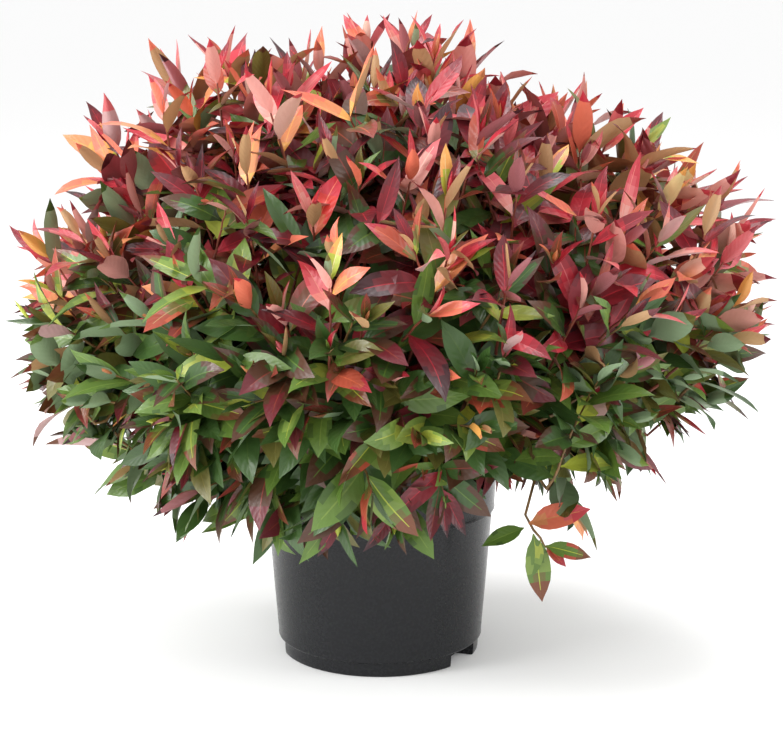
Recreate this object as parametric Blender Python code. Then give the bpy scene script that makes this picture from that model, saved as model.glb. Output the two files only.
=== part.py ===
"""Coast leucothoe, a low evergreen shrub, standing in a round nursery pot.

Metres, +Z up. The origin is the centre of the pot's flat underside; +X is the
shrub's right and -Y its front. Every stem, bough and mass of foliage is one
closed solid of its own.
"""
import math

import bmesh
import bpy
from mathutils import Vector
from mathutils.bvhtree import BVHTree

# ---------------------------------------------------------------- pot
POT_HEIGHT = 0.180
POT_RIM_R = 0.1172          # outside of the rim band at its top
POT_BAND_LOW_Z = 0.149      # lower edge of the rim band
POT_BAND_LOW_R = 0.1158
POT_WALL_TOP_R = 0.1138     # wall just under the band
POT_STEP_Z = 0.0165         # step between wall and foot
POT_WALL_LOW_R = 0.1032
POT_FOOT_R = 0.1000
POT_WALL = 0.0020
POT_FLOOR = 0.0030
POT_WELL_R = 0.0760         # low middle of the pot's floor, inside the foot ring
POT_LEDGE_Z = 0.0165        # top of the foot ring, inside the pot
CHANNEL_ANGLES = (-85.0, 57.0, 129.0, 201.0)   # drain channels, degrees from the front towards +X
CHANNEL_SPAN = 25.0
CHANNEL_IN_R = 0.0815
CHANNEL_HEIGHT = 0.0135
POT_SEGMENTS = 40

# ---------------------------------------------------------------- compost
COMPOST_TOP_Z = 0.160
COMPOST_DOME = 0.004        # the middle stands this much higher
COMPOST_FLAT_R = 0.056      # flat middle that carries the stems
COMPOST_SEGMENTS = 40
GAP = 0.0003                # between pieces that touch

# ---------------------------------------------------------------- crown
CROWN_MID = Vector((0.0, 0.0, 0.357))
MASS_GAP = 0.010            # open strip between two masses
MASS_SITE = 0.62            # a mass's own middle, as a share of its reach
LOBE_FALL = 0.32            # how fast a lobe drops away from its tip
UNEVEN = 0.085              # dents in a mass's skin, as a share of its reach
ROUNDING = 13.0             # higher is sharper between two faces of a mass
CORE_NECK_R = 0.088         # leafless middle above the compost
CORE_R = 0.135
CORE_LOW_Z = 0.215
CORE_TOP_Z = 0.500
POT_CLEAR = 0.013           # foliage stays this far off the pot
POT_CLEAR_Z = 0.200         # and rises from the rim on a slant above this height
SKIRT_LOW_Z = 0.128         # lowest foliage, but for the hanging sprig
SKIRT_LIFT = 0.054          # the skirt is this much higher over the lifted side
SKIRT_LIFT_ANGLE = 335.0

# name, compass angle (0 right, 90 back, 180 left, 270 front), height angle, reach
MASSES = (
    ("foliage_top", 20.0, 84.0, 0.291),
    ("foliage_upper_right", 0.0, 41.0, 0.302),
    ("foliage_upper_back_right", 60.0, 48.0, 0.300),
    ("foliage_upper_back_left", 120.0, 47.0, 0.305),
    ("foliage_upper_left", 180.0, 44.0, 0.328),
    ("foliage_upper_front_left", 240.0, 46.0, 0.300),
    ("foliage_upper_front_right", 300.0, 46.0, 0.300),
    ("foliage_right", 1.0, 6.0, 0.398),
    ("foliage_back_right", 52.0, 7.0, 0.352),
    ("foliage_back", 103.0, 9.0, 0.345),
    ("foliage_back_left", 149.0, 6.0, 0.352),
    ("foliage_left", 188.0, -1.0, 0.376),
    ("foliage_front_left", 234.0, 5.0, 0.340),
    ("foliage_front", 276.0, 8.0, 0.338),
    ("foliage_front_right", 319.0, 6.0, 0.345),
    ("foliage_low_right", 340.0, -29.0, 0.330),
    ("foliage_low_back_right", 32.0, -30.0, 0.318),
    ("foliage_low_back", 90.0, -31.0, 0.300),
    ("foliage_low_back_left", 146.0, -30.0, 0.315),
    ("foliage_low_left", 200.0, -31.0, 0.330),
    ("foliage_low_front", 262.0, -33.0, 0.292),
)

# hanging sprig low on the right, in front of the pot's side
SPRIG_MID = Vector((0.154, -0.106, 0.112))
SPRIG_HALF = Vector((0.046, 0.034, 0.039))
SPRIG_CARRIER = "foliage_low_right"
SPRIG_TWIG_R = 0.0016

# ---------------------------------------------------------------- limbs
STEM_RING_R = 0.034         # the stems leave the compost on this ring
STEM_FOOT_R = 0.0052
STEM_END_R = 0.0026
STEM_FLARE = 1.45
BOUGH_FOOT_R = 0.0032
BOUGH_END_R = 0.0017
LIMB_SIDES = 6
STEM_STEPS = 7
BOUGH_STEPS = 4
ENTRY_CLEAR = 0.0016        # a limb stops this short of the mass it feeds

# stem name, angle of its foot, mass that it runs up to
STEMS = (
    ("stem_right", 8.0, "foliage_upper_right"),
    ("stem_back_right", 63.0, "foliage_upper_back_right"),
    ("stem_back_left", 124.0, "foliage_upper_back_left"),
    ("stem_left", 181.0, "foliage_upper_left"),
    ("stem_front_left", 243.0, "foliage_upper_front_left"),
    ("stem_front_right", 301.0, "foliage_upper_front_right"),
)

# bough name, stem it leaves, share of the stem's length where it leaves, mass it feeds
BOUGHS = (
    ("bough_top", "stem_back_right", 0.80, "foliage_top"),
    ("bough_right", "stem_right", 0.62, "foliage_right"),
    ("bough_back_right", "stem_back_right", 0.55, "foliage_back_right"),
    ("bough_back", "stem_back_left", 0.60, "foliage_back"),
    ("bough_back_left", "stem_back_left", 0.46, "foliage_back_left"),
    ("bough_left", "stem_left", 0.58, "foliage_left"),
    ("bough_front_left", "stem_front_left", 0.58, "foliage_front_left"),
    ("bough_front", "stem_front_right", 0.62, "foliage_front"),
    ("bough_front_right", "stem_front_right", 0.47, "foliage_front_right"),
    ("bough_low_right", "stem_right", 0.40, "foliage_low_right"),
    ("bough_low_back_right", "stem_back_right", 0.34, "foliage_low_back_right"),
    ("bough_low_back", "stem_back_left", 0.30, "foliage_low_back"),
    ("bough_low_back_left", "stem_left", 0.42, "foliage_low_back_left"),
    ("bough_low_left", "stem_left", 0.28, "foliage_low_left"),
    ("bough_low_front", "stem_front_left", 0.36, "foliage_low_front"),
)


def clear_scene():
    for ob in list(bpy.data.objects):
        bpy.data.objects.remove(ob, do_unlink=True)
    for block in (bpy.data.meshes, bpy.data.curves, bpy.data.materials):
        for item in list(block):
            block.remove(item)


def material(name, color, roughness, metallic=0.0):
    mat = bpy.data.materials.new(name)
    mat.use_nodes = True
    shader = mat.node_tree.nodes["Principled BSDF"]
    shader.inputs["Base Color"].default_value = (*color, 1.0)
    shader.inputs["Roughness"].default_value = roughness
    shader.inputs["Metallic"].default_value = metallic
    return mat


def add_object(name, bm, mat, smooth=False):
    bmesh.ops.recalc_face_normals(bm, faces=bm.faces)
    mesh = bpy.data.meshes.new(name)
    bm.to_mesh(mesh)
    bm.free()
    if smooth:
        mesh.shade_smooth()
        mesh.set_sharp_from_angle(angle=math.radians(35.0))
    mesh.materials.append(mat)
    ob = bpy.data.objects.new(name, mesh)
    bpy.context.scene.collection.objects.link(ob)
    return ob


def lathe(profile, segments):
    """A closed turned body. The profile runs from the axis to the axis."""
    bm = bmesh.new()
    rings = []
    for r, z in profile:
        if r < 1e-7:
            rings.append([bm.verts.new((0.0, 0.0, z))])
        else:
            rings.append([
                bm.verts.new((r * math.sin(a), -r * math.cos(a), z))
                for a in (2.0 * math.pi * k / segments for k in range(segments))
            ])
    for low, high in zip(rings, rings[1:]):
        for k in range(segments):
            n = (k + 1) % segments
            if len(low) == 1:
                bm.faces.new((low[0], high[k], high[n]))
            elif len(high) == 1:
                bm.faces.new((low[k], high[0], low[n]))
            else:
                bm.faces.new((low[k], high[k], high[n], low[n]))
    return bm


def wedge_cutter(name, middle, span, r_in, r_out, z_low, z_high, steps=4):
    """A curved block about the axis, in degrees from the front towards +X."""
    bm = bmesh.new()
    columns = []
    for k in range(steps + 1):
        a = math.radians(middle - span / 2.0 + span * k / steps)
        s, c = math.sin(a), -math.cos(a)
        columns.append([
            bm.verts.new((r * s, r * c, z))
            for r, z in ((r_in, z_low), (r_out, z_low), (r_out, z_high), (r_in, z_high))
        ])
    for one, two in zip(columns, columns[1:]):
        for k in range(4):
            n = (k + 1) % 4
            bm.faces.new((one[k], one[n], two[n], two[k]))
    bm.faces.new(columns[0])
    bm.faces.new(list(reversed(columns[-1])))
    bmesh.ops.recalc_face_normals(bm, faces=bm.faces)
    mesh = bpy.data.meshes.new(name)
    bm.to_mesh(mesh)
    bm.free()
    ob = bpy.data.objects.new(name, mesh)
    ob.hide_render = True
    ob.display_type = "WIRE"
    bpy.context.scene.collection.objects.link(ob)
    return ob


def wall_r(z):
    """Outside radius of the pot's wall at a height."""
    t = (z - POT_STEP_Z) / (POT_BAND_LOW_Z - POT_STEP_Z)
    return POT_WALL_LOW_R + t * (POT_WALL_TOP_R - POT_WALL_LOW_R)


def inner_r(z):
    """Inside radius of the pot at a height."""
    if z > POT_BAND_LOW_Z:
        t = (z - POT_BAND_LOW_Z) / (POT_HEIGHT - POT_BAND_LOW_Z)
        low = POT_WALL_TOP_R - POT_WALL
        return low + t * (POT_RIM_R - POT_WALL - low)
    return wall_r(z) - POT_WALL


def build_pot(mat):
    profile = [
        (0.0, 0.0),
        (POT_FOOT_R - 0.0015, 0.0),
        (POT_FOOT_R, 0.0015),
        (POT_FOOT_R + 0.0005, POT_STEP_Z - 0.0030),
        (POT_WALL_LOW_R, POT_STEP_Z),
        (POT_WALL_TOP_R, POT_BAND_LOW_Z - 0.0012),
        (POT_BAND_LOW_R, POT_BAND_LOW_Z),
        (POT_RIM_R, POT_HEIGHT - 0.0015),
        (POT_RIM_R - 0.0010, POT_HEIGHT),
        (inner_r(POT_HEIGHT), POT_HEIGHT - 0.0006),
        (inner_r(POT_BAND_LOW_Z), POT_BAND_LOW_Z),
        (inner_r(POT_LEDGE_Z + 0.004), POT_LEDGE_Z + 0.004),
        (inner_r(POT_LEDGE_Z) - 0.004, POT_LEDGE_Z),
        (POT_WELL_R, POT_LEDGE_Z),
        (POT_WELL_R, POT_FLOOR),
        (0.0, POT_FLOOR),
    ]
    pot = add_object("pot", lathe(profile, POT_SEGMENTS), mat, smooth=True)
    for k, angle in enumerate(CHANNEL_ANGLES):
        cutter = wedge_cutter(f"channel_cutter_{k + 1}", angle, CHANNEL_SPAN,
                              CHANNEL_IN_R, POT_RIM_R, -0.010, CHANNEL_HEIGHT)
        cut = pot.modifiers.new(f"channel_{k + 1}", "BOOLEAN")
        cut.operation = "DIFFERENCE"
        cut.solver = "EXACT"
        cut.object = cutter
    return pot


def build_compost(mat):
    ledge = POT_LEDGE_Z + GAP
    profile = [
        (0.0, POT_FLOOR + GAP),
        (POT_WELL_R - GAP, POT_FLOOR + GAP),
        (POT_WELL_R - GAP, ledge),
        (inner_r(POT_LEDGE_Z) - 0.0046, ledge),
        (inner_r(POT_LEDGE_Z + 0.0044) - GAP, POT_LEDGE_Z + 0.0046),
        (inner_r(POT_BAND_LOW_Z) - GAP, POT_BAND_LOW_Z),
        (inner_r(COMPOST_TOP_Z) - GAP, COMPOST_TOP_Z),
        (COMPOST_FLAT_R, COMPOST_TOP_Z + COMPOST_DOME),
        (0.0, COMPOST_TOP_Z + COMPOST_DOME),
    ]
    return add_object("compost", lathe(profile, COMPOST_SEGMENTS), mat, smooth=True)


# ---------------------------------------------------------------- foliage
def heading(compass, height):
    a, e = math.radians(compass), math.radians(height)
    return Vector((math.cos(a) * math.cos(e), math.sin(a) * math.cos(e), math.sin(e)))


def core_r(z):
    """Radius of the leafless middle of the crown at a height."""
    if z >= CORE_TOP_Z:
        return 0.0
    if z <= CORE_LOW_Z:
        return CORE_NECK_R
    t = (z - CORE_LOW_Z) / (CORE_TOP_Z - CORE_LOW_Z)
    swell = math.sin(math.pi * min(1.0, t ** 0.75))
    return CORE_NECK_R * math.sqrt(max(0.0, 1.0 - t ** 3)) * (1.0 - swell) + CORE_R * swell


def free_of_pot(p):
    r = math.hypot(p.x, p.y)
    if r < core_r(p.z):
        return False
    if r < POT_RIM_R + POT_CLEAR - max(0.0, p.z - POT_CLEAR_Z) * 0.9:
        return False
    turn = math.atan2(p.y, p.x) - math.radians(SKIRT_LIFT_ANGLE)
    return p.z > SKIRT_LOW_Z + SKIRT_LIFT * max(0.0, math.cos(turn))


def dents(d, number):
    """Smooth uneven value from 0 to 1 over the directions, its own for each mass."""
    total = 0.0
    for k, (weight, waves) in enumerate(((0.5, 3.1), (0.3, 5.3), (0.2, 8.7))):
        s = number * 1.7 + k * 2.3
        total += weight * math.sin(waves * d.x + 1.3 * s) * math.sin(waves * d.y + 0.7 * s + 1.0) \
            + weight * 0.6 * math.cos(waves * d.z + 1.9 * s)
    return min(1.0, max(0.0, 0.5 + 0.42 * total))


def ball(fineness=3):
    bm = bmesh.new()
    bmesh.ops.create_icosphere(bm, subdivisions=fineness, radius=1.0)
    return bm


def first_limit(site, d, start, test):
    """How far a ray from the site runs before the test fails, up to the start length."""
    step, t = 0.006, 0.0
    while t < start:
        if not test(site + d * (t + step)):
            low, high = t, t + step
            for _ in range(8):
                mid = 0.5 * (low + high)
                if test(site + d * mid):
                    low = mid
                else:
                    high = mid
            return low
        t += step
    return start


def mass_mesh(number, sites, tips, reaches):
    site, tip, reach = sites[number], tips[number], reaches[number]
    bm = ball()
    for v in bm.verts:
        d = v.co.normalized()
        limits = []
        for other, where in enumerate(sites):
            if other == number:
                continue
            apart = where - site
            facing = d.dot(apart.normalized())
            if facing > 1e-4:
                limits.append((apart.length / 2.0 - MASS_GAP / 2.0) / facing)

        def inside_lobe(p):
            out = p - CROWN_MID
            turn = out.angle(tip)
            return out.length < reach * (1.0 - LOBE_FALL * turn * turn)

        limits.append(first_limit(site, d, 0.30, inside_lobe))
        rounded = sum(max(x, 0.004) ** -ROUNDING for x in limits) ** (-1.0 / ROUNDING)
        outward = max(0.0, d.dot(tip))
        shape = rounded * (1.0 - UNEVEN * dents(d, number) * (1.15 - outward ** 6))
        v.co = site + d * min(shape, first_limit(site, d, shape, free_of_pot))
    return bm


def sprig_mesh(number):
    bm = ball(2)
    for v in bm.verts:
        d = v.co.normalized()
        size = 1.0 - 1.6 * UNEVEN * dents(d, number)
        v.co = SPRIG_MID + Vector((d.x * SPRIG_HALF.x, d.y * SPRIG_HALF.y, d.z * SPRIG_HALF.z)) * size
    return bm


def build_foliage(mats):
    tips = [heading(a, e) for _, a, e, _ in MASSES]
    reaches = [reach for _, _, _, reach in MASSES]
    sites = [CROWN_MID + tip * (reach * MASS_SITE) for tip, reach in zip(tips, reaches)]
    trees, middles = {}, {}
    for number, (name, _, height, _) in enumerate(MASSES):
        bm = mass_mesh(number, sites, tips, reaches)
        trees[name] = BVHTree.FromBMesh(bm)
        middles[name] = sites[number]
        key = "upper" if height > 30.0 else "middle" if height > -10.0 else "lower"
        add_object(name, bm, mats[key], smooth=True)
    name = "foliage_hanging_sprig"
    bm = sprig_mesh(len(MASSES))
    trees[name] = BVHTree.FromBMesh(bm)
    middles[name] = SPRIG_MID
    add_object(name, bm, mats["lower"], smooth=True)
    return trees, middles


# ---------------------------------------------------------------- limbs
def bend(a, b, c, t):
    """Point on the curve from a to c that is drawn towards b."""
    return a * ((1 - t) ** 2) + b * (2 * t * (1 - t)) + c * (t * t)


def route(a, b, c, tree, steps):
    """Points along the curve from a towards c, up to just before the mass."""
    fine = [bend(a, b, c, k / 120.0) for k in range(121)]
    stop = 1.0
    for k, (p, q) in enumerate(zip(fine, fine[1:])):
        step = q - p
        hit = tree.ray_cast(p, step.normalized(), step.length)
        if hit[0] is not None:
            share = (hit[0] - p).length / step.length
            stop = (k + share) / 120.0
            break
    length = sum((q - p).length for p, q in zip(fine, fine[1:]))
    stop = max(0.05, stop - ENTRY_CLEAR / length)
    while tree.find_nearest(bend(a, b, c, stop))[3] < ENTRY_CLEAR and stop > 0.1:
        stop -= 0.004
    return [bend(a, b, c, stop * k / steps) for k in range(steps + 1)]


def limb(name, points, radii, mat, first_plane=None):
    """A tapering round limb. Its first end may be cut along a plane (point, normal)."""
    bm = bmesh.new()
    rings = []
    side = None
    for k, (p, r) in enumerate(zip(points, radii)):
        ahead = points[min(k + 1, len(points) - 1)] - points[max(k - 1, 0)]
        ahead.normalize()
        if side is None:
            side = ahead.orthogonal().normalized()
        side = (side - ahead * side.dot(ahead)).normalized()
        up = ahead.cross(side)
        ring = []
        for j in range(LIMB_SIDES):
            a = 2.0 * math.pi * j / LIMB_SIDES
            q = p + (side * math.cos(a) + up * math.sin(a)) * r
            if k == 0 and first_plane is not None:
                at, normal = first_plane
                q = q + ahead * ((at - q).dot(normal) / ahead.dot(normal))
            ring.append(bm.verts.new(q))
        rings.append(ring)
    for one, two in zip(rings, rings[1:]):
        for j in range(LIMB_SIDES):
            n = (j + 1) % LIMB_SIDES
            bm.faces.new((one[j], one[n], two[n], two[j]))
    bm.faces.new(list(reversed(rings[0])))
    bm.faces.new(rings[-1])
    return add_object(name, bm, mat, smooth=True)


def along(points, share):
    """Place and heading at a share of a limb's length."""
    spans = [(q - p).length for p, q in zip(points, points[1:])]
    left = share * sum(spans)
    for k, span in enumerate(spans):
        if left <= span or k == len(spans) - 1:
            ahead = (points[k + 1] - points[k]).normalized()
            return points[k] + ahead * left, ahead, (k + left / span) / len(spans)
        left -= span


def build_limbs(trees, middles, stem_mat, bough_mat):
    foot_z = COMPOST_TOP_Z + COMPOST_DOME + GAP
    stems = {}
    for name, angle, mass in STEMS:
        foot = heading(angle, 0.0) * STEM_RING_R + Vector((0.0, 0.0, foot_z))
        end = middles[mass]
        knee = foot + (end - foot) * 0.42
        knee -= heading(angle, 0.0) * 0.052
        points = route(foot, knee, end, trees[mass], STEM_STEPS)
        radii = [
            STEM_FOOT_R + (STEM_END_R - STEM_FOOT_R) * (k / STEM_STEPS) for k in range(STEM_STEPS + 1)
        ]
        radii[0] *= STEM_FLARE
        limb(name, points, radii, stem_mat, (foot, Vector((0.0, 0.0, 1.0))))
        stems[name] = (points, radii)
    for name, stem, share, mass in BOUGHS:
        points, radii = stems[stem]
        at, ahead, part = along(points, share)
        end = middles[mass]
        outward = end - at
        outward -= ahead * outward.dot(ahead)
        outward.normalize()
        place = min(part * STEM_STEPS, STEM_STEPS - 1e-6)
        k = int(place)
        stem_r = radii[k] + (radii[k + 1] - radii[k]) * (place - k)
        start = at + outward * (stem_r + GAP)
        lift = Vector((0.0, 0.0, 0.030 if "low" in name else 0.012))
        knee = start + (end - start) * 0.45 + lift
        way = route(start, knee, end, trees[mass], BOUGH_STEPS)
        thin = [
            BOUGH_FOOT_R + (BOUGH_END_R - BOUGH_FOOT_R) * (k / BOUGH_STEPS) for k in range(BOUGH_STEPS + 1)
        ]
        limb(name, way, thin, bough_mat, (start, outward))
    # the twig that the sprig hangs on comes out of the mass above it
    carrier = trees[SPRIG_CARRIER]
    up = (middles[SPRIG_CARRIER] - SPRIG_MID).normalized()
    top = carrier.ray_cast(SPRIG_MID, up)[0] - up * 2.0 * ENTRY_CLEAR
    knee = top.lerp(SPRIG_MID, 0.5) + Vector((0.004, 0.0, 0.0))
    way = route(top, knee, SPRIG_MID, trees["foliage_hanging_sprig"], 3)
    limb("bough_sprig", way, [SPRIG_TWIG_R] * 4, bough_mat)


def main():
    clear_scene()
    pot_mat = material("pot_plastic", (0.032, 0.033, 0.035), 0.55)
    compost_mat = material("compost", (0.028, 0.017, 0.010), 0.95)
    stem_mat = material("stem_bark", (0.120, 0.060, 0.035), 0.75)
    bough_mat = material("young_bark", (0.230, 0.060, 0.035), 0.60)
    foliage = {
        "upper": material("foliage_red", (0.340, 0.045, 0.050), 0.45),
        "middle": material("foliage_bronze", (0.210, 0.085, 0.040), 0.45),
        "lower": material("foliage_green", (0.085, 0.130, 0.028), 0.45),
    }
    build_pot(pot_mat)
    build_compost(compost_mat)
    trees, middles = build_foliage(foliage)
    build_limbs(trees, middles, stem_mat, bough_mat)


main()
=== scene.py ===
"""Looks of a coast leucothoe in a round nursery pot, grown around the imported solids."""
import math
import random

import bpy
import numpy as np
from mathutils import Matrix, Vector
from mathutils.bvhtree import BVHTree


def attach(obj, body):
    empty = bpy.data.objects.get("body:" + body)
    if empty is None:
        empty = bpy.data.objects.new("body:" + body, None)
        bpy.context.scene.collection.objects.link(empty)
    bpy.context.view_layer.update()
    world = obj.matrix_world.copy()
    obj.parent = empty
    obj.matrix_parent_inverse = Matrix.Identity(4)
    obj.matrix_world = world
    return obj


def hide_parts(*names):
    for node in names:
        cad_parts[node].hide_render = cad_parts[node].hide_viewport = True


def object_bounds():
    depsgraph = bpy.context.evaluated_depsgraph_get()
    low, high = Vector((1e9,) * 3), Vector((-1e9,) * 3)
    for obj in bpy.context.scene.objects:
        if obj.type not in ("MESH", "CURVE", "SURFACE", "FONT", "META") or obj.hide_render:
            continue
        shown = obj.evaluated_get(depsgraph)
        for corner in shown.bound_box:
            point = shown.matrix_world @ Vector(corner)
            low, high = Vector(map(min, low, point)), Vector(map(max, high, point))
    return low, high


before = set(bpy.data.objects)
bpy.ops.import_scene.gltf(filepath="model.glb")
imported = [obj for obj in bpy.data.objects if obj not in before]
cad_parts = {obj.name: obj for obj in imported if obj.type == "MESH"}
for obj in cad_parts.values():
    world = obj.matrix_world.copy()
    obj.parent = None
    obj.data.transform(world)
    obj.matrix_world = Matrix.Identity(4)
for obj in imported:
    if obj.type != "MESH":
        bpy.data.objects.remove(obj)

bounds0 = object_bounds()
rng = random.Random(20417)
scene = bpy.context.scene
UP = Vector((0.0, 0.0, 1.0))

# ---------------------------------------------------------------- the part's own sizes
POT_HEIGHT, POT_RIM_R = 0.180, 0.1172
BAND_LOW_Z, BAND_LOW_R, WALL_TOP_R = 0.149, 0.1158, 0.1138
STEP_Z, WALL_LOW_R, FOOT_R = 0.0165, 0.1032, 0.1000
POT_WALL, POT_FLOOR, WELL_R, LEDGE_Z = 0.0020, 0.0030, 0.0760, 0.0165
CHANNELS, CHANNEL_SPAN, CHANNEL_IN_R, CHANNEL_HEIGHT = (-85.0, 57.0, 129.0, 201.0), 25.0, 0.0815, 0.0135
COMPOST_Z, GAP = 0.164, 0.0003
CROWN_MID = Vector((0.0, 0.0, 0.357))
MASS_SITE = 0.62
MASSES = (
    ("foliage_top", 20.0, 84.0, 0.291), ("foliage_upper_right", 0.0, 41.0, 0.302),
    ("foliage_upper_back_right", 60.0, 48.0, 0.300), ("foliage_upper_back_left", 120.0, 47.0, 0.305),
    ("foliage_upper_left", 180.0, 44.0, 0.328), ("foliage_upper_front_left", 240.0, 46.0, 0.300),
    ("foliage_upper_front_right", 300.0, 46.0, 0.300), ("foliage_right", 1.0, 6.0, 0.398),
    ("foliage_back_right", 52.0, 7.0, 0.352), ("foliage_back", 103.0, 9.0, 0.345),
    ("foliage_back_left", 149.0, 6.0, 0.352), ("foliage_left", 188.0, -1.0, 0.376),
    ("foliage_front_left", 234.0, 5.0, 0.340), ("foliage_front", 276.0, 8.0, 0.338),
    ("foliage_front_right", 319.0, 6.0, 0.345), ("foliage_low_right", 340.0, -29.0, 0.330),
    ("foliage_low_back_right", 32.0, -30.0, 0.318), ("foliage_low_back", 90.0, -31.0, 0.300),
    ("foliage_low_back_left", 146.0, -30.0, 0.315), ("foliage_low_left", 200.0, -31.0, 0.330),
    ("foliage_low_front", 262.0, -33.0, 0.292),
)
SPRIG = "foliage_hanging_sprig"
SPRIG_MID = Vector((0.154, -0.106, 0.112))
STEMS = (
    ("stem_right", 8.0, "foliage_upper_right"), ("stem_back_right", 63.0, "foliage_upper_back_right"),
    ("stem_back_left", 124.0, "foliage_upper_back_left"), ("stem_left", 181.0, "foliage_upper_left"),
    ("stem_front_left", 243.0, "foliage_upper_front_left"),
    ("stem_front_right", 301.0, "foliage_upper_front_right"),
)
BOUGHS = (
    ("bough_top", "stem_back_right", 0.80, "foliage_top"), ("bough_right", "stem_right", 0.62, "foliage_right"),
    ("bough_back_right", "stem_back_right", 0.55, "foliage_back_right"),
    ("bough_back", "stem_back_left", 0.60, "foliage_back"),
    ("bough_back_left", "stem_back_left", 0.46, "foliage_back_left"),
    ("bough_left", "stem_left", 0.58, "foliage_left"),
    ("bough_front_left", "stem_front_left", 0.58, "foliage_front_left"),
    ("bough_front", "stem_front_right", 0.62, "foliage_front"),
    ("bough_front_right", "stem_front_right", 0.47, "foliage_front_right"),
    ("bough_low_right", "stem_right", 0.40, "foliage_low_right"),
    ("bough_low_back_right", "stem_back_right", 0.34, "foliage_low_back_right"),
    ("bough_low_back", "stem_back_left", 0.30, "foliage_low_back"),
    ("bough_low_back_left", "stem_left", 0.42, "foliage_low_back_left"),
    ("bough_low_left", "stem_left", 0.28, "foliage_low_left"),
    ("bough_low_front", "stem_front_left", 0.36, "foliage_low_front"),
)
# pieces of leaves: name, slot, masses
GROUPS = (
    ("leaves_upper_front", "foliage_red", ("foliage_top", "foliage_upper_front_left", "foliage_upper_front_right")),
    ("leaves_upper_sides", "foliage_red", ("foliage_upper_left", "foliage_upper_right")),
    ("leaves_upper_back", "foliage_red", ("foliage_upper_back_left", "foliage_upper_back_right")),
    ("leaves_middle_front", "foliage_bronze", ("foliage_front", "foliage_front_left", "foliage_front_right")),
    ("leaves_middle_sides", "foliage_bronze", ("foliage_left", "foliage_right")),
    ("leaves_middle_back", "foliage_bronze", ("foliage_back", "foliage_back_left", "foliage_back_right")),
    ("leaves_skirt_front", "foliage_green", ("foliage_low_front", "foliage_low_left", "foliage_low_right", SPRIG)),
    ("leaves_skirt_back", "foliage_green", ("foliage_low_back", "foliage_low_back_left", "foliage_low_back_right")),
)


def heading(compass, height):
    a, e = math.radians(compass), math.radians(height)
    return Vector((math.cos(a) * math.cos(e), math.sin(a) * math.cos(e), math.sin(e)))


# ---------------------------------------------------------------- camera
CAM_AT, CAM_TILT, CAM_TURN, CAM_F = Vector((0.0, -1.9, 0.665)), 11.41, 0.354, 1940.0


def build_camera():
    data = bpy.data.cameras.new("camera")
    data.sensor_fit = "HORIZONTAL"
    data.sensor_width = 36.0
    data.lens = CAM_F / 783.0 * 36.0
    data.clip_end = 300.0
    cam = bpy.data.objects.new("camera", data)
    cam.location = CAM_AT
    cam.rotation_euler = (math.radians(90.0 - CAM_TILT), 0.0, -math.radians(CAM_TURN))
    scene.collection.objects.link(cam)
    scene.camera = cam


def spot(px, py, y):
    """Place in the shrub's frame of a point of the picture, at a depth y."""
    e = math.radians(CAM_TILT) + math.atan((py - 375.0) / CAM_F)
    z = CAM_AT.z - (1.9 + y) * math.tan(e)
    p = math.radians(CAM_TILT)
    depth = (1.9 + y) * math.cos(p) + (CAM_AT.z - z) * math.sin(p)
    return Vector(((px - 391.5) * depth / CAM_F + 0.0117 * depth / 1.9, y, z))


# ---------------------------------------------------------------- materials
def lin(rgb):
    out = []
    for c in rgb:
        c /= 255.0
        out.append(c / 12.92 if c <= 0.04045 else ((c + 0.055) / 1.055) ** 2.4)
    return (*out, 1.0)


def node(tree, kind, **values):
    n = tree.nodes.new(kind)
    for key, value in values.items():
        setattr(n, key, value)
    return n


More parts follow.
